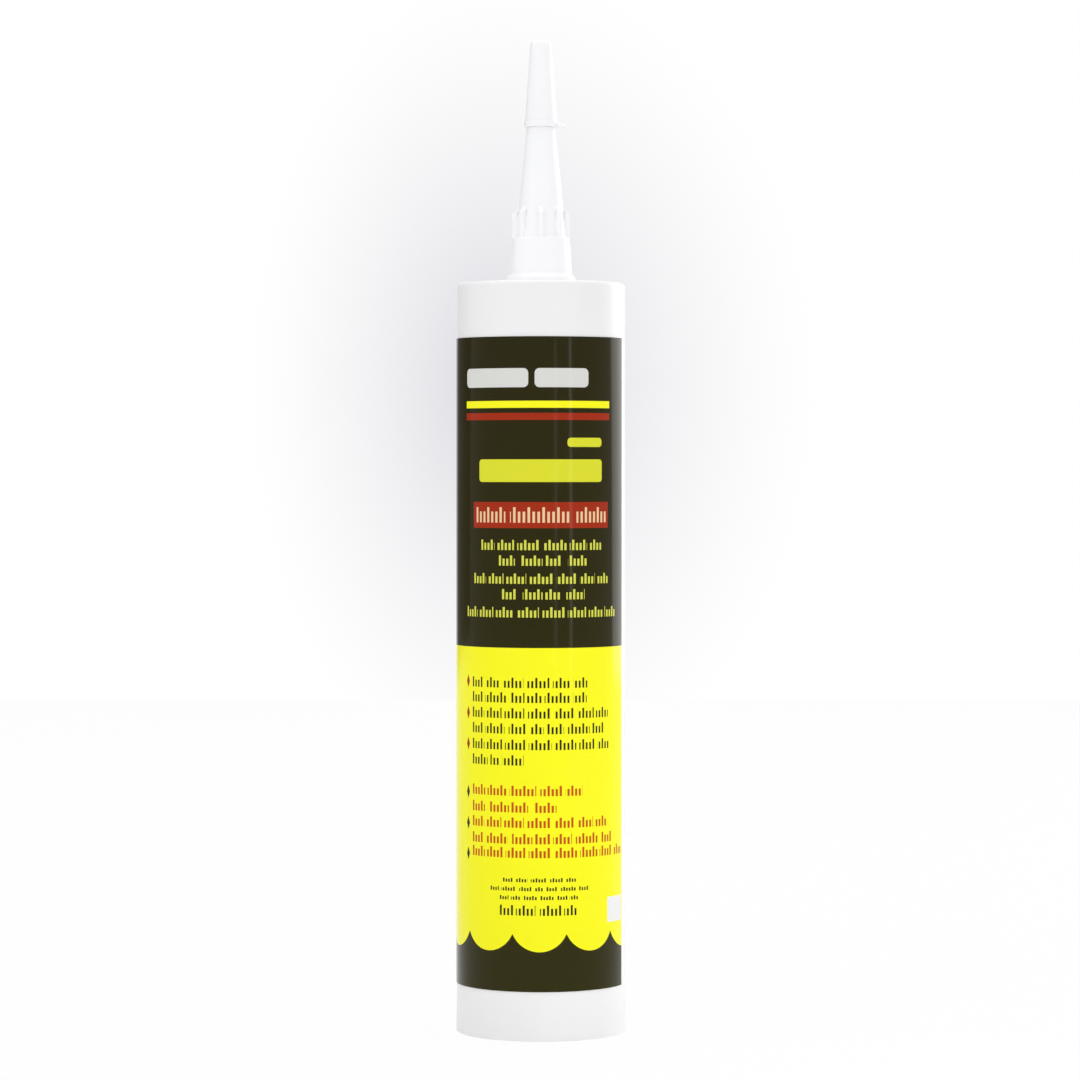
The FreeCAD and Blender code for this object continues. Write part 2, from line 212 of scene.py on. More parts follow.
def place(tree, value, socket):
    # A socket is linked, a plain number or colour is typed in.
    if isinstance(value, bpy.types.NodeSocket):
        tree.links.new(value, socket)
    else:
        socket.default_value = value


def maths(tree, operation, *values):
    node = addNode(tree, "ShaderNodeMath", operation=operation)
    for value, socket in zip(values, node.inputs):
        place(tree, value, socket)
    return node.outputs["Value"]


def mixColour(tree, factor, first, second):
    node = addNode(tree, "ShaderNodeMix", data_type="RGBA")
    place(tree, factor, node.inputs["Factor"])
    place(tree, first, node.inputs["A"])
    place(tree, second, node.inputs["B"])
    return node.outputs["Result"]


def useGroup(tree, group, **values):
    node = addNode(tree, "ShaderNodeGroup", node_tree=group)
    for key, value in values.items():
        place(tree, value, node.inputs[key])
    return node.outputs


def remap(tree, value, fromRange, toRange, **values):
    node = addNode(tree, "ShaderNodeMapRange", **values)
    place(tree, value, node.inputs["Value"])
    node.inputs["From Min"].default_value, node.inputs["From Max"].default_value = fromRange
    node.inputs["To Min"].default_value, node.inputs["To Max"].default_value = toRange
    return node.outputs["Result"]


def layOut(tree):
    # Nodes stand in columns, each to the left of all that it feeds.
    column = {node.name: 0 for node in tree.nodes}
    moved = True
    while moved:
        moved = False
        for link in tree.links:
            wanted = column[link.to_node.name] + 1
            if column[link.from_node.name] < wanted:
                column[link.from_node.name] = wanted
                moved = True
    filled = {}
    for node in tree.nodes:
        along = column[node.name]
        filled[along] = filled.get(along, 0) + 1
        node.location = (nodeStep[0] * along, nodeStep[1] * filled[along])


floatSocket = "NodeSocketFloat"
grainForm = {"cloudDetail": 4.0, "peelDetail": 2.0}
scuffForm = {
    "bendSize": 90.0,
    "bend": (0.01, 0.01, 0.03),
    "lineWidth": 0.012,
    "patchSize": 70.0,
}
strokeForm = {"push": 0.18, "tallShare": 1 / 3, "round": 0.1}


def buildGrain():
    # Cloudy colour and fine orange peel of moulded or printed plastic; Stretch draws it out along Z.
    group, given, result = newGroup("grain", [
        ("Cloud Size", floatSocket, 60.0),
        ("Peel Size", floatSocket, 900.0),
        ("Stretch", floatSocket, 1.0),
    ], [("Cloud", floatSocket), ("Peel", floatSocket)])
    spot = addNode(group, "ShaderNodeTexCoord")
    split = addNode(group, "ShaderNodeSeparateXYZ")
    group.links.new(spot.outputs["Object"], split.inputs["Vector"])
    drawn = maths(group, "DIVIDE", split.outputs["Z"], given["Stretch"])
    joined = addNode(group, "ShaderNodeCombineXYZ")
    group.links.new(split.outputs["X"], joined.inputs["X"])
    group.links.new(split.outputs["Y"], joined.inputs["Y"])
    group.links.new(drawn, joined.inputs["Z"])
    cloud = addNode(group, "ShaderNodeTexNoise")
    cloud.inputs["Detail"].default_value = grainForm["cloudDetail"]
    group.links.new(joined.outputs["Vector"], cloud.inputs["Vector"])
    group.links.new(given["Cloud Size"], cloud.inputs["Scale"])
    peel = addNode(group, "ShaderNodeTexNoise")
    peel.inputs["Detail"].default_value = grainForm["peelDetail"]
    group.links.new(joined.outputs["Vector"], peel.inputs["Vector"])
    group.links.new(given["Peel Size"], peel.inputs["Scale"])
    group.links.new(cloud.outputs["Fac"], result["Cloud"])
    group.links.new(peel.outputs["Fac"], result["Peel"])
    return group


def buildScuffs():
    # Fine hairline scratches and rubbed patches, as a mask.
    group, given, result = newGroup("scuffs", [
        ("Size", floatSocket, 120.0),
        ("Share", floatSocket, 0.3),
    ], [("Mask", floatSocket)])
    spot = addNode(group, "ShaderNodeTexCoord")
    bend = addNode(group, "ShaderNodeTexNoise")
    bend.inputs["Scale"].default_value = scuffForm["bendSize"]
    group.links.new(spot.outputs["Object"], bend.inputs["Vector"])
    shift = addNode(group, "ShaderNodeVectorMath", operation="MULTIPLY_ADD")
    shift.inputs[1].default_value = scuffForm["bend"]
    group.links.new(bend.outputs["Color"], shift.inputs[0])
    group.links.new(spot.outputs["Object"], shift.inputs[2])
    lines = addNode(group, "ShaderNodeTexVoronoi", feature="DISTANCE_TO_EDGE")
    group.links.new(shift.outputs["Vector"], lines.inputs["Vector"])
    group.links.new(given["Size"], lines.inputs["Scale"])
    thin = maths(group, "LESS_THAN", lines.outputs["Distance"], scuffForm["lineWidth"])
    patch = addNode(group, "ShaderNodeTexNoise")
    patch.inputs["Scale"].default_value = scuffForm["patchSize"]
    group.links.new(spot.outputs["Object"], patch.inputs["Vector"])
    limit = maths(group, "SUBTRACT", 1.0, given["Share"])
    worn = maths(group, "GREATER_THAN", patch.outputs["Fac"], limit)
    both = maths(group, "MULTIPLY", thin, worn)
    group.links.new(both, result["Mask"])
    return group


def buildLabelPlace(radius):
    # A point's place on the unrolled label, in millimetres from the middle of its front and from the floor.
    group, _, result = newGroup("labelPlace", [], [("Across", floatSocket), ("Up", floatSocket)])
    spot = addNode(group, "ShaderNodeTexCoord")
    split = addNode(group, "ShaderNodeSeparateXYZ")
    group.links.new(spot.outputs["Object"], split.inputs["Vector"])
    towards = maths(group, "MULTIPLY", split.outputs["Y"], -1.0)
    angle = maths(group, "ARCTAN2", split.outputs["X"], towards)
    across = maths(group, "MULTIPLY", angle, radius / mm)
    up = maths(group, "MULTIPLY", split.outputs["Z"], 1 / mm)
    group.links.new(across, result["Across"])
    group.links.new(up, result["Up"])
    return group


def buildBar(labelPlace):
    # A plain printed bar with rounded corners.
    group, given, result = newGroup("printedBar", [
        ("Left", floatSocket, -5.0),
        ("Right", floatSocket, 5.0),
        ("Middle", floatSocket, 100.0),
        ("Height", floatSocket, 2.0),
        ("Round", floatSocket, 0.3),
    ], [("Mask", floatSocket)])
    spot = useGroup(group, labelPlace)
    middle = maths(group, "ADD", given["Left"], given["Right"])
    middle = maths(group, "MULTIPLY", middle, 0.5)
    halfWidth = maths(group, "SUBTRACT", given["Right"], middle)
    halfHeight = maths(group, "MULTIPLY", given["Height"], 0.5)
    sides = []
    for where, centre, half in [
        (spot["Across"], middle, halfWidth),
        (spot["Up"], given["Middle"], halfHeight),
    ]:
        away = maths(group, "SUBTRACT", where, centre)
        away = maths(group, "ABSOLUTE", away)
        inner = maths(group, "SUBTRACT", half, given["Round"])
        past = maths(group, "SUBTRACT", away, inner)
        past = maths(group, "MAXIMUM", past, 0.0)
        sides.append(maths(group, "MULTIPLY", past, past))
    total = maths(group, "ADD", sides[0], sides[1])
    far = maths(group, "SQRT", total)
    inside = maths(group, "LESS_THAN", far, given["Round"])
    group.links.new(inside, result["Mask"])
    return group


def buildDashRow(labelPlace, bar):
    # A row of longer and shorter dashes, each a few upright strokes side by side.
    group, given, result = newGroup("dashRow", [
        ("Left", floatSocket, -5.0),
        ("Right", floatSocket, 5.0),
        ("Middle", floatSocket, 100.0),
        ("Height", floatSocket, 1.6),
        ("Rise", floatSocket, 0.4),
        ("Dashes", floatSocket, 5.0),
        ("Gap", floatSocket, 0.13),
        ("Sway", floatSocket, 1.0),
        ("Stroke", floatSocket, 1.1),
        ("Ink Share", floatSocket, 0.6),
    ], [("Mask", floatSocket)])
    spot = useGroup(group, labelPlace)
    reach = maths(group, "SUBTRACT", given["Right"], given["Left"])
    fromLeft = maths(group, "SUBTRACT", spot["Across"], given["Left"])
    along = maths(group, "DIVIDE", fromLeft, reach)
    # The even division is pushed to and fro by a sine that is nil at both ends of the row.
    wave = maths(group, "MULTIPLY", along, given["Sway"])
    wave = maths(group, "MULTIPLY", wave, 2 * math.pi)
    wave = maths(group, "SINE", wave)
    counted = maths(group, "MULTIPLY", along, given["Dashes"])
    counted = maths(group, "MULTIPLY_ADD", wave, strokeForm["push"], counted)
    within = maths(group, "FRACT", counted)
    limit = maths(group, "SUBTRACT", 1.0, given["Gap"])
    inDash = maths(group, "LESS_THAN", within, limit)
    # Strokes stand side by side in a dash, and one in three rises above the others.
    strokes = maths(group, "DIVIDE", fromLeft, given["Stroke"])
    inStroke = maths(group, "FRACT", strokes)
    inked = maths(group, "LESS_THAN", inStroke, given["Ink Share"])
    third = maths(group, "MULTIPLY", strokes, strokeForm["tallShare"])
    third = maths(group, "FRACT", third)
    tall = maths(group, "LESS_THAN", third, strokeForm["tallShare"])
    extra = maths(group, "MULTIPLY", given["Height"], given["Rise"])
    extra = maths(group, "MULTIPLY", extra, tall)
    height = maths(group, "ADD", given["Height"], extra)
    middle = maths(group, "MULTIPLY_ADD", extra, 0.5, given["Middle"])
    whole = useGroup(group, bar, Left=given["Left"], Right=given["Right"], Middle=middle, Height=height,
                     Round=strokeForm["round"])
    both = maths(group, "MULTIPLY", whole["Mask"], inDash)
    both = maths(group, "MULTIPLY", both, inked)
    group.links.new(both, result["Mask"])
    return group


def buildDiamond(labelPlace):
    group, given, result = newGroup("diamond", [
        ("Across", floatSocket, 0.0),
        ("Up", floatSocket, 0.0),
        ("Half Width", floatSocket, 0.8),
        ("Half Height", floatSocket, 1.9),
    ], [("Mask", floatSocket)])
    spot = useGroup(group, labelPlace)
    shares = []
    for name, half in [("Across", "Half Width"), ("Up", "Half Height")]:
        away = maths(group, "SUBTRACT", spot[name], given[name])
        away = maths(group, "ABSOLUTE", away)
        shares.append(maths(group, "DIVIDE", away, given[half]))
    total = maths(group, "ADD", shares[0], shares[1])
    inside = maths(group, "LESS_THAN", total, 1.0)
    group.links.new(inside, result["Mask"])
    return group


def buildScallops(labelPlace, radius):
    # The yellow field above its row of hanging scallops; a scallop is an arc of the given radius.
    group, given, result = newGroup("scallopedField", [
        ("Top", floatSocket, 111.3),
        ("Lowest", floatSocket, 25.3),
        ("Cusp", floatSocket, 30.2),
        ("Pitch", floatSocket, 15.6),
        ("First", floatSocket, 0.0),
        ("Radius", floatSocket, 8.5),
    ], [("Mask", floatSocket)])
    spot = useGroup(group, labelPlace)
    turned = maths(group, "SUBTRACT", spot["Across"], given["First"])
    # The arcs run on past the back of the barrel, where Across jumps by one turn.
    behind = maths(group, "GREATER_THAN", turned, 0.0)
    jump = maths(group, "MULTIPLY", behind, -2 * math.pi * radius / mm)
    turned = maths(group, "ADD", turned, jump)
    steps = maths(group, "DIVIDE", turned, given["Pitch"])
    near = maths(group, "ROUND", steps)
    off = maths(group, "SUBTRACT", steps, near)
    off = maths(group, "MULTIPLY", off, given["Pitch"])
    centre = maths(group, "ADD", given["Lowest"], given["Radius"])
    rise = maths(group, "SUBTRACT", spot["Up"], centre)
    offSquare = maths(group, "MULTIPLY", off, off)
    riseSquare = maths(group, "MULTIPLY", rise, rise)
    far = maths(group, "ADD", offSquare, riseSquare)
    far = maths(group, "SQRT", far)
    inDisc = maths(group, "LESS_THAN", far, given["Radius"])
    aboveCusp = maths(group, "GREATER_THAN", spot["Up"], given["Cusp"])
    belowTop = maths(group, "LESS_THAN", spot["Up"], given["Top"])
    either = maths(group, "MAXIMUM", inDisc, aboveCusp)
    both = maths(group, "MULTIPLY", either, belowTop)
    group.links.new(both, result["Mask"])
    return group


inkRadius = inkHigh.y
grainGroup = buildGrain()
scuffGroup = buildScuffs()
labelPlaceGroup = buildLabelPlace(inkRadius)
barGroup = buildBar(labelPlaceGroup)
dashRowGroup = buildDashRow(labelPlaceGroup, barGroup)
diamondGroup = buildDiamond(labelPlaceGroup)
scallopGroup = buildScallops(labelPlaceGroup, inkRadius)
print("node groups built")


def newMaterial(name):
    material = bpy.data.materials.new(name)
    material.use_nodes = True
    tree = material.node_tree
    ownTrees.append(tree)
    tree.nodes.clear()
    output = addNode(tree, "ShaderNodeOutputMaterial")
    shader = addNode(tree, "ShaderNodeBsdfPrincipled")
    tree.links.new(shader.outputs["BSDF"], output.inputs["Surface"])
    return material, tree, shader


# What all plastics and the printed film share.
everyPlastic = {
    "ior": 1.5,
    "scuffTint": 0.25,
    "peelDepth": 0.05 * mm,
    "milkyRadius": (1.0, 0.95, 0.9),
}


def addGrain(tree, values):
    grain = useGroup(tree, grainGroup, **{"Cloud Size": values["cloudSize"],
                     "Peel Size": values["peelSize"], "Stretch": values["stretch"]})
    scuffs = useGroup(tree, scuffGroup, Size=values["scuffSize"], Share=values["scuffShare"])
    faint = maths(tree, "MULTIPLY", scuffs["Mask"], everyPlastic["scuffTint"])
    return grain, scuffs, faint


def finishSurface(tree, shader, colour, grain, scuffs, values):
    # Roughness follows the clouds and scuffs, and the peel is a fine relief.
    tree.links.new(colour, shader.inputs["Base Color"])
    rough = remap(tree, grain["Cloud"], (0, 1), (values["smoothest"], values["roughest"]))
    rough = maths(tree, "MULTIPLY_ADD", scuffs["Mask"], values["scuffRoughness"], rough)
    tree.links.new(rough, shader.inputs["Roughness"])
    relief = addNode(tree, "ShaderNodeBump")
    relief.inputs["Strength"].default_value = values["peelStrength"]
    relief.inputs["Distance"].default_value = everyPlastic["peelDepth"]
    tree.links.new(grain["Peel"], relief.inputs["Height"])
    tree.links.new(relief.outputs["Normal"], shader.inputs["Normal"])
    shader.inputs["IOR"].default_value = everyPlastic["ior"]


plastics = {
    "tubePlastic": {
        "light": (0.905, 0.90, 0.90, 1), "dark": (0.865, 0.862, 0.865, 1), "scuffed": (0.81, 0.81, 0.80, 1),
        "cloudSize": 45.0, "peelSize": 700.0, "stretch": 6.0, "smoothest": 0.30, "roughest": 0.42,
        "peelStrength": 0.10, "scuffShare": 0.36, "scuffSize": 120.0, "scuffRoughness": 0.08,
        "milky": 0.12, "depth": 0.8 * mm,
    },
    "nozzlePlastic": {
        "light": (0.99, 0.99, 0.995, 1), "dark": (0.965, 0.97, 0.98, 1), "scuffed": (0.92, 0.92, 0.93, 1),
        "cloudSize": 80.0, "peelSize": 1100.0, "stretch": 3.0, "smoothest": 0.30, "roughest": 0.42,
        "peelStrength": 0.06, "scuffShare": 0.30, "scuffSize": 120.0, "scuffRoughness": 0.08,
        "milky": 0.25, "depth": 1.0 * mm,
    },
    "pistonPlastic": {
        "light": (0.84, 0.84, 0.82, 1), "dark": (0.76, 0.76, 0.745, 1), "scuffed": (0.70, 0.70, 0.69, 1),
        "cloudSize": 70.0, "peelSize": 900.0, "stretch": 1.0, "smoothest": 0.34, "roughest": 0.46,
        "peelStrength": 0.12, "scuffShare": 0.40, "scuffSize": 120.0, "scuffRoughness": 0.08,
        "milky": 0.15, "depth": 1.0 * mm,
    },
    "sealantPaste": {
        "light": (0.86, 0.86, 0.84, 1), "dark": (0.80, 0.80, 0.78, 1), "scuffed": (0.80, 0.80, 0.78, 1),
        "cloudSize": 110.0, "peelSize": 400.0, "stretch": 1.0, "smoothest": 0.22, "roughest": 0.40,
        "peelStrength": 0.30, "scuffShare": 0.0, "scuffSize": 120.0, "scuffRoughness": 0.08,
        "milky": 0.2, "depth": 1.2 * mm,
    },
}


def plasticMaterial(name):
    # Milky moulded plastic: clouded colour, hairline scuffs, orange peel and a little light let through.
    values = plastics[name]
    material, tree, shader = newMaterial(name)
    grain, scuffs, faint = addGrain(tree, values)
    colour = mixColour(tree, grain["Cloud"], values["dark"], values["light"])
    colour = mixColour(tree, faint, colour, values["scuffed"])
    finishSurface(tree, shader, colour, grain, scuffs, values)
    shader.inputs["Subsurface Weight"].default_value = values["milky"]
    shader.inputs["Subsurface Radius"].default_value = everyPlastic["milkyRadius"]
    shader.inputs["Subsurface Scale"].default_value = values["depth"]
    return material


# What is printed on the label, in millimetres: a bar has its left, right, middle height and height.
# The scallops' pitch and the middle of the first are in degrees round the barrel.
labelPrint = {
    "darkInk": (0.0205, 0.0168, 0.0012, 1),
    # The foot tone of the dark ground is painted light from below.
    "darkInkPaintedFootLight": (0.0270, 0.0235, 0.0005, 1),
    "darkInkWorn": (0.030, 0.027, 0.008, 1),
    "yellowInk": (0.97, 0.945, 0.013, 1),
    "redInk": (0.36, 0.026, 0.005, 1),
    "orangeInk": (0.56, 0.085, 0.006, 1),
    "creamInk": (0.84, 0.60, 0.34, 1),
    "paleYellowInk": (0.68, 0.70, 0.08, 1),
    "limeInk": (0.72, 0.73, 0.03, 1),
    "whiteInk": (0.70, 0.70, 0.67, 1),
    "patchInk": (0.86, 0.86, 0.85, 1),
    "fieldTop": 111.2,
    "scallopLowest": 25.3,
    "scallopCusp": 30.2,
    "scallopPitch": 36.6,
    "scallopFirst": 72.2,
    "scallopRadius": 8.5,
    "redBar": (-21.9, 21.7, 148.68, 7.35),
    "yellowStripe": (-25.5, 22.4, 179.9, 2.0),
    "redStripe": (-25.5, 22.4, 176.5, 2.0),
    "whiteBars": [(-25.2, -3.6, 187.4, 5.4), (-1.8, 14.2, 187.4, 5.4)],
    "limeBars": [(7.6, 19.0, 169.2, 2.6), (-19.4, 19.1, 161.2, 6.4)],
    "redDiamonds": [101.4, 92.4, 83.6],
    "blackDiamonds": [69.9, 61.0, 52.3],
    "diamondAcross": -24.6,
    "patch": (21.6, 29.4, 36.4, 7.2),
    "stripeRound": 0.05,
    "patchRound": 0.2,
    "whiteRound": 1.4,
    "limeRound": 1.0,
}
labelFinish = {
    "cloudSize": 50.0, "peelSize": 500.0, "stretch": 4.0, "smoothest": 0.09, "roughest": 0.15,
    "peelStrength": 0.06, "scuffShare": 0.36, "scuffSize": 160.0, "scuffRoughness": 0.1,
    "specular": 0.13,
}

# Rows of strokes: ink, height and rise of the strokes, mean length of a dash and the gap after it,
# stroke pitch and inked share, and for each row its left, right and middle height.
printRows = [
    ("creamInk", 3.1, 0.40, 13.5, 1.4, 1.40, 0.52, [(-20.6, 20.6, 148.1)]),
    ("paleYellowInk", 2.0, 0.45, 6.5, 0.9, 1.15, 0.58, [
        (-18.6, 19.2, 139.8), (-12.4, 13.6, 135.4), (-21.6, 21.9, 130.3), (-11.4, 12.6, 125.9),
        (-25.0, 25.0, 120.8),
    ]),
    ("darkInk", 2.0, 0.45, 6.5, 0.9, 1.15, 0.52, [
        (-22.3, 13.7, 100.9), (-22.3, 13.4, 96.7), (-22.3, 21.6, 92.3), (-22.3, 19.8, 87.9),
        (-22.3, 22.1, 83.4), (-22.3, -5.3, 79.0), (-12.1, 10.6, 36.6),
    ]),
    ("orangeInk", 2.0, 0.45, 6.5, 0.9, 1.15, 0.58, [
        (-22.3, 12.1, 70.4), (-22.3, 4.1, 65.7), (-22.3, 21.3, 61.4), (-22.3, 23.2, 56.8),
        (-22.3, 29.4, 52.9),
    ]),
    ("darkInk", 0.9, 0.30, 4.0, 0.8, 0.80, 0.60, [
        (-11.1, 10.0, 45.5), (-15.2, 13.9, 43.0), (-12.1, 10.9, 40.5),
    ]),
]

# Columns of such rows on the back: ink, left, right, lowest and highest row, and the rows' pitch.
printColumns = [
    ("darkInk", -70.0, -38.0, 44.0, 100.0, 3.5),
    ("paleYellowInk", -70.0, -38.0, 121.0, 149.0, 3.5),
    ("darkInk", 45.0, 71.0, 58.0, 100.0, 3.5),
]
columnRow = {"Height": 1.1, "Rise": 0.4, "Gap": 0.17, "Stroke": 0.85, "Ink Share": 0.6}
columnDash = 5.0
columnSway = 0.37


def joinMasks(tree, masks):
    total = masks[0]
    for mask in masks[1:]:
        total = maths(tree, "MAXIMUM", total, mask)
    return total


def barMasks(tree, bars, roundness):
    masks = []
    for left, right, middle, height in bars:
        bar = useGroup(tree, barGroup, Left=left, Right=right, Middle=middle, Height=height,
                       Round=labelPrint[roundness])
        masks.append(bar["Mask"])
    return masks


def labelMaterial():
    # Glossy printed film: dark ground with painted light towards its foot, yellow field with scallops,
    # stripes, bars and rows of strokes.
    material, tree, shader = newMaterial("labelPrint")
    grain, scuffs, worn = addGrain(tree, labelFinish)
    field = useGroup(tree, scallopGroup, **{
        "Top": labelPrint["fieldTop"],
        "Lowest": labelPrint["scallopLowest"],
        "Cusp": labelPrint["scallopCusp"],
        "Pitch": math.radians(labelPrint["scallopPitch"]) * inkRadius / mm,
        "First": math.radians(labelPrint["scallopFirst"]) * inkRadius / mm,
        "Radius": labelPrint["scallopRadius"],
    })["Mask"]

    stripes = [labelPrint["redStripe"], labelPrint["redBar"]]
    layers = [
        ("yellowInk", [field] + barMasks(tree, [labelPrint["yellowStripe"]], "stripeRound")),
        ("redInk", barMasks(tree, stripes, "stripeRound")),
        ("patchInk", barMasks(tree, [labelPrint["patch"]], "patchRound")),
        ("whiteInk", barMasks(tree, labelPrint["whiteBars"], "whiteRound")),
        ("limeInk", barMasks(tree, labelPrint["limeBars"], "limeRound")),
    ]
    for ink, height, rise, dash, gap, stroke, inked, rows in printRows:
        masks = []
        for number, (left, right, middle) in enumerate(rows):
            # The gap after the last dash falls outside the row.
            reach = right + gap - left
            dashes = max(1, round(reach / dash))
            row = useGroup(tree, dashRowGroup, **{
                "Left": left, "Right": right + gap, "Middle": middle, "Height": height, "Rise": rise,
                "Dashes": dashes, "Gap": gap * dashes / reach, "Sway": 1 + number % 2,
                "Stroke": stroke, "Ink Share": inked,
            })
            masks.append(row["Mask"])
        layers.append((ink, masks))
    spot = useGroup(tree, labelPlaceGroup)
    for ink, left, right, lowest, highest, pitch in printColumns:
        # The middle of the nearest row of the column stands in for the row's own height.
        steps = maths(tree, "SUBTRACT", spot["Up"], lowest)
        steps = maths(tree, "DIVIDE", steps, pitch)
        nearest = maths(tree, "ROUND", steps)
        nearest = maths(tree, "MAXIMUM", nearest, 0.0)
        nearest = maths(tree, "MINIMUM", nearest, round((highest - lowest) / pitch))
        middle = maths(tree, "MULTIPLY_ADD", nearest, pitch, lowest)
        sway = maths(tree, "MULTIPLY_ADD", nearest, columnSway, 1.0)
        dashes = round((right - left) / columnDash)
        row = useGroup(tree, dashRowGroup, Left=left, Right=right, Middle=middle, Dashes=dashes, Sway=sway,
                       **columnRow)
        layers.append((ink, [row["Mask"]]))
    for ink, heights in (("redInk", labelPrint["redDiamonds"]), ("darkInk", labelPrint["blackDiamonds"])):
        masks = []
        for height in heights:
            diamond = useGroup(tree, diamondGroup, Across=labelPrint["diamondAcross"], Up=height)
            masks.append(diamond["Mask"])
        layers.append((ink, masks))

    # Painted light: the dark ground grows lighter towards the film's foot, standing in for light from
    # below.
    low = remap(tree, spot["Up"], (filmHigh.z / mm, filmLow.z / mm), (0, 1))
    ground = mixColour(tree, low, labelPrint["darkInk"], labelPrint["darkInkPaintedFootLight"])
    colour = mixColour(tree, worn, ground, labelPrint["darkInkWorn"])
    for ink, masks in layers:
        colour = mixColour(tree, joinMasks(tree, masks), colour, labelPrint[ink])
    finishSurface(tree, shader, colour, grain, scuffs, labelFinish)
    shader.inputs["Specular IOR Level"].default_value = labelFinish["specular"]
    return material


tubePlastic = plasticMaterial("tubePlastic")
nozzlePlastic = plasticMaterial("nozzlePlastic")
pistonPlastic = plasticMaterial("pistonPlastic")
sealantPaste = plasticMaterial("sealantPaste")
labelInk = labelMaterial()
print("materials built")


# Barrel, head and neck: one moulding, with a thread on the neck.

barrel = {
    "rearFlare": 0.25 * mm,
    "wall": 0.95 * mm,
    "rearRelief": 0.3 * mm,
    "rearDepth": 12.0 * mm,
    "rearLeadIn": 0.2 * mm,
    "headThickness": 1.8 * mm,
    "shoulderRound": 1.2 * mm,
    "bossRadius": 10.3 * mm,
    "bossHeight": 0.4 * mm,
    "neckRadius": 6.4 * mm,
    "neckBore": 4.8 * mm,
    "membrane": 0.6 * mm,
    "edgeRound": 0.12 * mm,
    "segments": 192,
}
barrel["radius"] = tubeHigh.x - barrel["rearFlare"]
thread = {
    "pitch": 3.2 * mm,
    "turns": 2.6,
    "rootRadius": 6.35 * mm,
    "crestRadius": 7.0 * mm,
    "rootWidth": 1.5 * mm,
    "crestWidth": 0.6 * mm,
    "stepsPerTurn": 48,
    "start": 1.6 * mm,
    "sameSpot": 0.001 * mm,
}


def makeBarrel():
    radius = barrel["radius"]
    bore = radius - barrel["wall"]
    rearBore = bore + barrel["rearRelief"]
    neckTop = tubeHigh.z
    headTop = nozzleLow.z - barrel["bossHeight"]
    headInside = headTop - barrel["headThickness"]
    piece = turnRings("barrel", [
        (barrel["neckRadius"], neckTop),
        (barrel["neckRadius"], nozzleLow.z),
        (barrel["bossRadius"], nozzleLow.z),
        (barrel["bossRadius"], headTop),
        (radius, headTop),
        (radius, barrel["rearDepth"]),
        (tubeHigh.x, 0),
        (rearBore + barrel["rearLeadIn"], 0),
        (rearBore, barrel["rearLeadIn"]),
        (rearBore, barrel["rearDepth"]),
        (bore, barrel["rearDepth"]),
        (bore, headInside),
        (barrel["neckBore"], headInside),
        (barrel["neckBore"], neckTop - barrel["membrane"]),
    ], barrel["segments"])
    roundRing(piece, radius, headTop, barrel["shoulderRound"], segments=8)
    roundRing(piece, tubeHigh.x, 0, barrel["edgeRound"])
    roundRing(piece, barrel["bossRadius"], nozzleLow.z, barrel["edgeRound"])
    roundRing(piece, barrel["neckRadius"], neckTop, barrel["edgeRound"] * 4)
    return piece


def makeThread():
    # One ridge profile, wound round the neck by a Screw modifier.
    rootRadius, rootWidth = thread["rootRadius"], thread["rootWidth"]
    deep = thread["crestRadius"] - rootRadius
    middle = rootRadius + deep / 2
    low = nozzleLow.z + thread["start"]
    piece = startPiece("neckThread", bpy.ops.mesh.primitive_plane_add, size=rootWidth)
    bpy.ops.transform.rotate(value=math.pi / 2, orient_axis="X", center_override=(0, 0, 0))
    bpy.ops.transform.resize(value=(deep / rootWidth, 1, 1), center_override=(0, 0, 0))
    bpy.ops.transform.translate(value=(middle, 0, low))
    selectEdges(piece, lambda spot: spot.x > middle)
    share = thread["crestWidth"] / rootWidth
    bpy.ops.transform.resize(value=(1, 1, share), center_override=(0, 0, low))
    bpy.ops.object.mode_set(mode="OBJECT")
    steps = int(thread["stepsPerTurn"] * thread["turns"])
    applyModifier(piece, "SCREW", axis="Z", angle=2 * math.pi * thread["turns"],
                  screw_offset=thread["pitch"] * thread["turns"], steps=steps, render_steps=steps)
    openPiece(piece, "EDGE")
    bpy.ops.mesh.select_all(action="SELECT")
    bpy.ops.mesh.remove_doubles(threshold=thread["sameSpot"])
    closePiece()
    return piece


tubePiece = makeBarrel()
smooth(tubePiece)
finishPiece(tubePiece, "cartridge", tubePlastic, ["cartridge_tube"])
threadPiece = makeThread()
smooth(threadPiece)
finishPiece(threadPiece, "cartridge", tubePlastic, [])
print("barrel and neck thread made")


# Label: an open ring of film wrapped round the barrel, with a bare gap.

film = {
    "glue": 0.05 * mm,
    "start": 7,  # degrees from +X
    "span": 334,
    "edgeRound": 0.03 * mm,
}


def makeLabel():
    inner = barrel["radius"] + film["glue"]
    piece = startPiece("labelFilm", bpy.ops.mesh.primitive_circle_add, vertices=360, radius=inkRadius,
                       fill_type="NOTHING")
    last = film["start"] + film["span"] - 360

    def inGap(vertex):
        # Vertices stand at whole degrees, so half a degree keeps the two end ones.
        angle = math.degrees(math.atan2(vertex.co.y, vertex.co.x))
        return last + 0.5 < angle < film["start"] - 0.5

    bpy.ops.mesh.select_mode(type="VERT")
    selectWhere(piece, "verts", inGap)
    bpy.ops.mesh.delete(type="VERT")
    bpy.ops.mesh.select_all(action="SELECT")
    bpy.ops.transform.translate(value=(0, 0, filmLow.z))
    bpy.ops.mesh.select_mode(type="EDGE")
    rise = {"value": (0, 0, filmHigh.z - filmLow.z)}
    bpy.ops.mesh.extrude_edges_move(TRANSFORM_OT_translate=rise)
    closePiece()
    applyModifier(piece, "SOLIDIFY", thickness=inkRadius - inner, offset=-1.0)
    applyModifier(piece, "BEVEL", width=film["edgeRound"], segments=2, limit_method="ANGLE")
    return piece


labelPiece = makeLabel()
smooth(labelPiece)
finishPiece(labelPiece, "cartridge", labelInk,
            ["label", "label_yellow_field", "label_yellow_stripe", "label_red_stripe", "label_red_bar"])
print("label made")


# Nozzle: foot, collar and hollow cone in one, with grip ribs round the cone's foot.

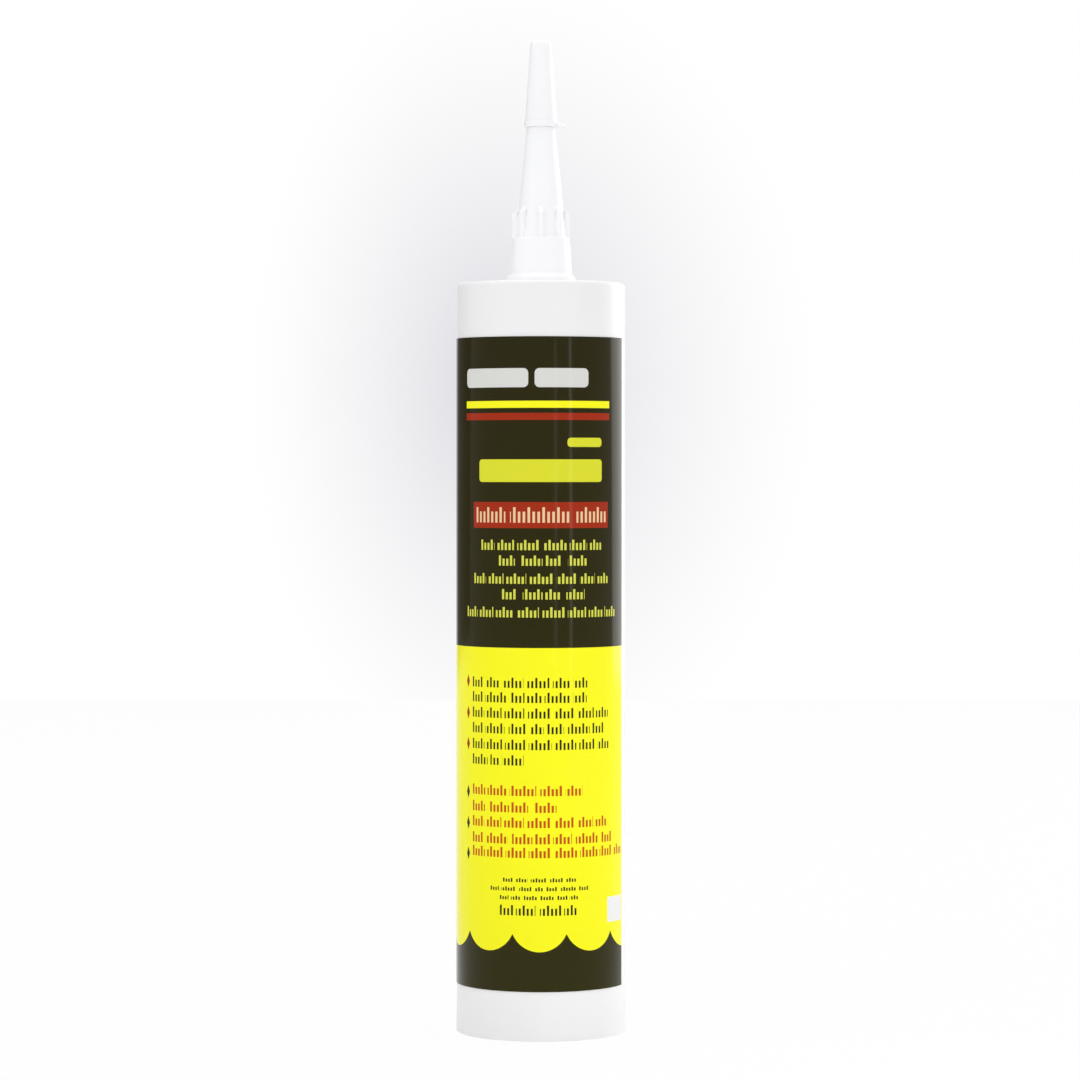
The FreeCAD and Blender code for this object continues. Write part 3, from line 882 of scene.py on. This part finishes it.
nozzlePart = {
    "socketRadius": 7.25 * mm,
    "socketDepth": 11.4 * mm,
    "flangeThickness": 1.2 * mm,
    "flangeFlare": 1.1 * mm,
    "collarFoot": 8.9 * mm,
    "collarTop": 8.35 * mm,
    "collarHeight": 12.6 * mm,
    "coneFoot": 7.3 * mm,
    "coneFootBore": 6.2 * mm,
    "tipRadius": 1.72 * mm,
    "tipBore": 0.9 * mm,
    "edgeRound": 0.3 * mm,
    "segments": 144,
}
gripRib = {
    "count": 8,
    "width": 1.3 * mm,
    "reach": 8.2 * mm,
    "root": 6.7 * mm,
    "straightTop": 19.8 * mm,
    "bevelTop": 23.0 * mm,
    "sink": 0.4 * mm,
    "topStand": 0.02 * mm,
    "topDepth": 0.9 * mm,
    "edgeRound": 0.25 * mm,
}


def makeGripRib():
    foot = nozzleLow.z
    low = foot + nozzlePart["collarHeight"] - gripRib["sink"]
    high = foot + gripRib["bevelTop"]
    straight = foot + gripRib["straightTop"]
    reach, root = gripRib["reach"], gripRib["root"]
    rise = nozzleHigh.z - foot - nozzlePart["collarHeight"]
    climb = gripRib["bevelTop"] - nozzlePart["collarHeight"]
    taper = (nozzlePart["coneFoot"] - nozzlePart["tipRadius"]) / rise
    coneAtTop = nozzlePart["coneFoot"] - taper * climb
    middle = (reach + root) / 2
    size = (reach - root, gripRib["width"], straight - low)
    piece = startPiece("gripRib", bpy.ops.mesh.primitive_cube_add, size=1)
    bpy.ops.transform.resize(value=size, center_override=(0, 0, 0))
    bpy.ops.transform.translate(value=(middle, 0, (straight + low) / 2))
    bpy.ops.mesh.select_mode(type="FACE")
    selectWhere(piece, "faces", lambda face: face.normal.z > 0.9)
    bpy.ops.mesh.extrude_region_move(TRANSFORM_OT_translate={"value": (0, 0, high - straight)})
    # The upper end slopes in to the cone, first its outer edges and then its inner ones.
    selectEdges(piece, lambda spot: spot.z > straight + mm and spot.x > middle)
    bpy.ops.transform.translate(value=(coneAtTop + gripRib["topStand"] - reach, 0, 0))
    selectEdges(piece, lambda spot: spot.z > straight + mm and spot.x < middle - mm / 2)
    bpy.ops.transform.translate(value=(coneAtTop - gripRib["topDepth"] - root, 0, 0))
    bpy.ops.object.mode_set(mode="OBJECT")
    applyModifier(piece, "BEVEL", width=gripRib["edgeRound"], segments=3, limit_method="ANGLE")
    return piece


def makeNozzle():
    foot = nozzleLow.z
    collar = foot + nozzlePart["collarHeight"]
    flangeTop = foot + nozzlePart["flangeThickness"]
    socketTop = foot + nozzlePart["socketDepth"]
    piece = turnRings("nozzleBody", [
        (nozzlePart["tipBore"], nozzleHigh.z),
        (nozzlePart["tipRadius"], nozzleHigh.z),
        (nozzlePart["coneFoot"], collar),
        (nozzlePart["collarTop"], collar),
        (nozzlePart["collarFoot"], flangeTop + nozzlePart["flangeFlare"]),
        (nozzleHigh.x, flangeTop),
        (nozzleHigh.x, foot),
        (nozzlePart["socketRadius"], foot),
        (nozzlePart["socketRadius"], socketTop),
        (nozzlePart["coneFootBore"], socketTop),
    ], nozzlePart["segments"])
    tipRing = onRing(nozzlePart["tipBore"], nozzleHigh.z)
    boreRing = onRing(nozzlePart["coneFootBore"], socketTop)

    def endsBore(edge):
        ends = [vertex.co for vertex in edge.verts]
        return all(map(tipRing, ends)) or all(map(boreRing, ends))

    # The first and last rings carry the caps that closed the turned form; the bore joins them.
    openPiece(piece, "FACE")
    selectWhere(piece, "faces", lambda face: len(face.verts) > 4)
    bpy.ops.mesh.delete(type="ONLY_FACE")
    bpy.ops.mesh.select_mode(type="EDGE")
    selectWhere(piece, "edges", endsBore)
    bpy.ops.mesh.bridge_edge_loops()
    closePiece()
    roundRing(piece, nozzlePart["collarTop"], collar, nozzlePart["edgeRound"])
    roundRing(piece, nozzleHigh.x, foot, nozzlePart["edgeRound"] / 2)
    roundRing(piece, nozzleHigh.x, flangeTop, nozzlePart["edgeRound"])
    roundRing(piece, nozzlePart["tipRadius"], nozzleHigh.z, nozzlePart["edgeRound"] / 2)
    rib = makeGripRib()
    ribs = [rib]
    for number in range(1, gripRib["count"]):
        copy = rib.copy()
        copy.data = rib.data.copy()
        bpy.context.collection.objects.link(copy)
        copy.rotation_euler.z = 2 * math.pi * number / gripRib["count"]
        ribs.append(copy)
    bpy.ops.object.select_all(action="DESELECT")
    for copy in ribs:
        copy.select_set(True)
    bpy.context.view_layer.objects.active = rib
    bpy.ops.object.transform_apply(location=False, rotation=True, scale=False)
    joinInto(rib, ribs)
    weld(piece, rib)
    return piece


nozzlePiece = makeNozzle()
smooth(nozzlePiece)
finishPiece(nozzlePiece, "nozzle", nozzlePlastic, ["nozzle"])
print("nozzle made")


# Cap: a tapered sleeve closed at its end, with a bead round its mouth, a thumb tab and a plug pin.

capPart = {
    "mouthRadius": 4.14 * mm,
    "beadWall": 0.7 * mm,
    "beadHeight": 1.6 * mm,
    "footWall": 0.45 * mm,
    "topRadius": 1.8 * mm,
    "endRadius": 3.0 * mm,
    "endWall": 1.6 * mm,
    "endRound": 1.0 * mm,
    "beadRound": 0.3 * mm,
    "pinRadius": 0.75 * mm,
    "pinLength": 3.0 * mm,
    "tabWidth": 4.0 * mm,
    "tabThickness": 1.2 * mm,
    "tabTaper": 0.5 * mm,
    "tabRound": 1.4 * mm,
    "tabSink": 0.35 * mm,
    "tabEdgeRound": 0.2 * mm,
    "tabEdgeAngle": 50,
    "segments": 96,
}


def makeTab(bead):
    start = bead - capPart["tabSink"]
    size = (capHigh.x - start, capPart["tabWidth"], capPart["tabThickness"])
    middle = ((capHigh.x + start) / 2, 0, capLow.z + capPart["tabThickness"] / 2)
    piece = startPiece("thumbTab", bpy.ops.mesh.primitive_cube_add, size=1)
    bpy.ops.transform.resize(value=size, center_override=(0, 0, 0))
    bpy.ops.transform.translate(value=middle)

    def outerUpright(edge):
        first, second = edge.verts
        return abs(first.co.z - second.co.z) > mm / 2 and first.co.x > middle[0]

    bpy.ops.mesh.select_mode(type="EDGE")
    selectWhere(piece, "edges", outerUpright)
    bpy.ops.mesh.bevel(offset=capPart["tabRound"], segments=8, affect="EDGES")
    # The tab thins towards its free end.
    form = bmesh.from_edit_mesh(piece.data)
    for vertex in form.verts:
        if vertex.co.z > middle[2]:
            share = (vertex.co.x - start) / size[0]
            vertex.co.z -= capPart["tabTaper"] * share
    bmesh.update_edit_mesh(piece.data)
    bpy.ops.object.mode_set(mode="OBJECT")
    applyModifier(piece, "BEVEL", width=capPart["tabEdgeRound"], segments=2, limit_method="ANGLE",
                  angle_limit=math.radians(capPart["tabEdgeAngle"]))
    return piece


def makeCap():
    low = capLow.z
    cavityTop = capHigh.z - capPart["endWall"]
    bead = capPart["mouthRadius"] + capPart["beadWall"]
    foot = capPart["mouthRadius"] + capPart["footWall"]
    beadTop = low + capPart["beadHeight"]
    piece = turnRings("nozzleCapShell", [
        (capPart["endRadius"], capHigh.z),
        (foot, beadTop),
        (bead, beadTop),
        (bead, low),
        (capPart["mouthRadius"], low),
        (capPart["topRadius"], cavityTop),
        (capPart["pinRadius"], cavityTop),
        (capPart["pinRadius"], cavityTop - capPart["pinLength"]),
    ], capPart["segments"])
    roundRing(piece, capPart["endRadius"], capHigh.z, capPart["endRound"], segments=6)
    roundRing(piece, bead, beadTop, capPart["beadRound"])
    roundRing(piece, bead, low, capPart["beadRound"])
    weld(piece, makeTab(bead))
    return piece


capPiece = makeCap()
smooth(capPiece)
finishPiece(capPiece, "cap", nozzlePlastic, ["nozzle_cap"])
print("cap made")


# Sealant: a column between piston and head, made at rest.

paste = {
    "bevel": 1.0 * mm,
    "neckRadius": 4.8 * mm,
    "headInside": 213.2 * mm,
    "travel": 182.0 * mm,
    "segments": 96,
}


def makePaste():
    radius = pasteHigh.x
    headInside = paste["headInside"]
    return turnRings("sealantColumn", [
        (paste["neckRadius"], pasteHigh.z),
        (paste["neckRadius"], headInside),
        (radius - paste["bevel"], headInside),
        (radius, headInside - paste["bevel"]),
        (radius, pasteLow.z),
    ], paste["segments"])


pastePiece = makePaste()
smooth(pastePiece)
finishPiece(pastePiece, "cartridge", sealantPaste, ["sealant"])
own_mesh(pastePiece)
print("sealant made")

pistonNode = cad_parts["piston"]
pistonNode.data.materials.clear()
pistonNode.data.materials.append(pistonPlastic)
print("piston finished")


# Floor and backdrop: white to the camera and in reflections, apart from painted shade on the backdrop,
# plain paper to everything else.

stageValues = {
    "floorSize": 8.0,
    "backdropAway": 1.6,
    "backdropSize": 8.0,
    "paper": (0.80, 0.80, 0.80, 1),
    "white": (1.0, 1.0, 1.0, 1),
    "whiteShare": 0.95,
    # The grey spot is painted shade on the wall behind the tube.
    "paintedShadeSpot": (0.690, 0.676, 0.728, 1),
    "spotCentre": (-0.028, 0.220),
    "spotLeft": 0.182,
    "spotRight": 0.231,
    "spotHeight": 0.301,
    "spotFall": 1.5,
    # The wall's far left is painted shade, seen mostly in reflections.
    "paintedSideShade": (0.20, 0.20, 0.205, 1),
    "sideFrom": -0.9,
    "sideTo": -0.45,
    "roughness": 0.9,
    "specular": 0.1,
}


def paperMaterial(name, share):
    # Camera, glossy and transmission rays meet the given share of plain glow; the rest is lit paper.
    material, tree, shader = newMaterial(name)
    shader.inputs["Base Color"].default_value = stageValues["paper"]
    shader.inputs["Roughness"].default_value = stageValues["roughness"]
    shader.inputs["Specular IOR Level"].default_value = stageValues["specular"]
    glow = addNode(tree, "ShaderNodeEmission")
    glow.inputs["Color"].default_value = stageValues["white"]
    path = addNode(tree, "ShaderNodeLightPath")
    direct = maths(tree, "MAXIMUM", path.outputs["Is Camera Ray"], path.outputs["Is Glossy Ray"])
    direct = maths(tree, "MAXIMUM", direct, path.outputs["Is Transmission Ray"])
    direct = maths(tree, "MULTIPLY", direct, share)
    mix = addNode(tree, "ShaderNodeMixShader")
    tree.links.new(direct, mix.inputs["Fac"])
    tree.links.new(shader.outputs["BSDF"], mix.inputs[1])
    tree.links.new(glow.outputs["Emission"], mix.inputs[2])
    tree.links.new(mix.outputs["Shader"], tree.nodes["Material Output"].inputs["Surface"])
    return material, tree, glow


def backdropMaterial():
    # A white wall with a soft painted shade spot behind the tube, steeper on its left than on its right,
    # and painted shade on its far left.
    material, tree, glow = paperMaterial("backdropPaper", 1.0)
    spot = addNode(tree, "ShaderNodeTexCoord")
    split = addNode(tree, "ShaderNodeSeparateXYZ")
    tree.links.new(spot.outputs["Object"], split.inputs["Vector"])
    centreX, centreZ = stageValues["spotCentre"]
    left, right = stageValues["spotLeft"], stageValues["spotRight"]
    across = maths(tree, "SUBTRACT", split.outputs["X"], centreX)
    onRight = maths(tree, "GREATER_THAN", across, 0.0)
    width = maths(tree, "MULTIPLY_ADD", onRight, right - left, left)
    across = maths(tree, "DIVIDE", across, width)
    up = maths(tree, "SUBTRACT", split.outputs["Z"], centreZ)
    up = maths(tree, "DIVIDE", up, stageValues["spotHeight"])
    across = maths(tree, "MULTIPLY", across, across)
    up = maths(tree, "MULTIPLY", up, up)
    far = maths(tree, "ADD", across, up)
    far = maths(tree, "SQRT", far)
    near = maths(tree, "SUBTRACT", 1.0, far)
    near = maths(tree, "MAXIMUM", near, 0.0)
    near = maths(tree, "POWER", near, stageValues["spotFall"])
    colour = mixColour(tree, near, stageValues["white"], stageValues["paintedShadeSpot"])
    # Painted shade darkens the wall's far left.
    side = remap(tree, split.outputs["X"], (stageValues["sideFrom"], stageValues["sideTo"]), (0, 1),
                 interpolation_type="SMOOTHSTEP")
    colour = mixColour(tree, side, stageValues["paintedSideShade"], colour)
    tree.links.new(colour, glow.inputs["Color"])
    return material


def makeStage():
    floor = startPiece("floor", bpy.ops.mesh.primitive_plane_add, size=stageValues["floorSize"])
    bpy.ops.object.mode_set(mode="OBJECT")
    floor.data.materials.append(paperMaterial("floorPaper", stageValues["whiteShare"])[0])
    backdrop = startPiece("backdrop", bpy.ops.mesh.primitive_plane_add, size=stageValues["backdropSize"])
    bpy.ops.transform.rotate(value=math.pi / 2, orient_axis="X", center_override=(0, 0, 0))
    bpy.ops.transform.translate(value=(0, stageValues["backdropAway"], 0))
    bpy.ops.object.mode_set(mode="OBJECT")
    backdrop.data.materials.append(backdropMaterial())


makeStage()
print("stage made")


# Lights: a soft box overhead, a weak fill from the front left, a panel behind on the right, two faint
# strips in front and a small fill low on the right for the foot. The label mirrors all but the fills.
# Each has its place, size, power, the height on the tube that it faces, and whether it is mirrored.

lights = {
    "overheadBox": ((0.0, 0.25, 1.05), (0.9, 0.9), 2.2, 0.12, True),
    "leftFill": ((-0.95, -1.15, 0.50), (1.0, 1.0), 2.8, 0.12, False),
    "rightPanel": ((1.07, 0.90, 0.45), (0.9, 0.9), 5.0, 0.12, True),
    "nearStrip": ((0.41, -1.13, 0.35), (0.045, 0.7), 0.26, 0.12, True),
    "farStrip": ((0.79, -0.91, 0.35), (0.050, 0.7), 0.55, 0.12, True),
    "footFill": ((0.153, -0.129, 0.035), (0.12, 0.05), 0.03, 0.01, False),
}


def addLight(name, spot, size, power, facing, mirrored):
    lamp = bpy.data.lights.new(name, "AREA")
    lamp.shape = "RECTANGLE"
    lamp.size, lamp.size_y = size
    lamp.energy = power
    holder = bpy.data.objects.new(name, lamp)
    bpy.context.collection.objects.link(holder)
    holder.location = spot
    aim = Vector((0, 0, facing))
    holder.rotation_euler = (holder.location - aim).to_track_quat("Z", "Y").to_euler()
    holder.visible_camera = False
    holder.visible_glossy = mirrored


for name, values in lights.items():
    addLight(name, *values)

# The room is a little dimmer level with the tube than above it and on its right.
room = {
    "level": (0.74, 0.74, 0.75, 1),
    "right": (0.80, 0.80, 0.80, 1),
    "above": (0.96, 0.96, 0.975, 1),
    "rightRange": (0.62, 1.0),
    "aboveRange": (0.30, 0.60),
}
world = bpy.data.worlds.new("paleRoom")
world.use_nodes = True
worldTree = world.node_tree
ownTrees.append(worldTree)
worldTree.nodes.clear()
worldOutput = addNode(worldTree, "ShaderNodeOutputWorld")
worldShade = addNode(worldTree, "ShaderNodeBackground")
worldSpot = addNode(worldTree, "ShaderNodeTexCoord")
worldSplit = addNode(worldTree, "ShaderNodeSeparateXYZ")
worldTree.links.new(worldSpot.outputs["Generated"], worldSplit.inputs["Vector"])
worldColour = room["level"]
for socket, side in (("X", "right"), ("Z", "above")):
    towards = remap(worldTree, worldSplit.outputs[socket], room[side + "Range"], (0, 1),
                    interpolation_type="SMOOTHSTEP")
    worldColour = mixColour(worldTree, towards, worldColour, room[side])
worldTree.links.new(worldColour, worldShade.inputs["Color"])
worldTree.links.new(worldShade.outputs["Background"], worldOutput.inputs["Surface"])
bpy.context.scene.world = world
for tree in ownTrees:
    layOut(tree)
print("lights made")


# Camera: a long lens in front of the label, a little below the head.

view = {
    "away": 1.118,
    "height": 161.8 * mm,
    "side": -0.27 * mm,
    "pitch": 1.054,
    "lens": 129.46,
    "sensor": 36.0,
    "nearest": 0.01,
}
cameraData = bpy.data.cameras.new("photoCamera")
cameraData.lens = view["lens"]
cameraData.sensor_width = view["sensor"]
cameraData.clip_start = view["nearest"]
camera = bpy.data.objects.new("photoCamera", cameraData)
bpy.context.collection.objects.link(camera)
camera.location = (view["side"], -view["away"], view["height"])
camera.rotation_mode = "XYZ"
camera.rotation_euler = (math.radians(90 - view["pitch"]), 0, 0)
bpy.context.scene.camera = camera
bpy.context.scene.view_settings.view_transform = "Standard"
print("camera placed")
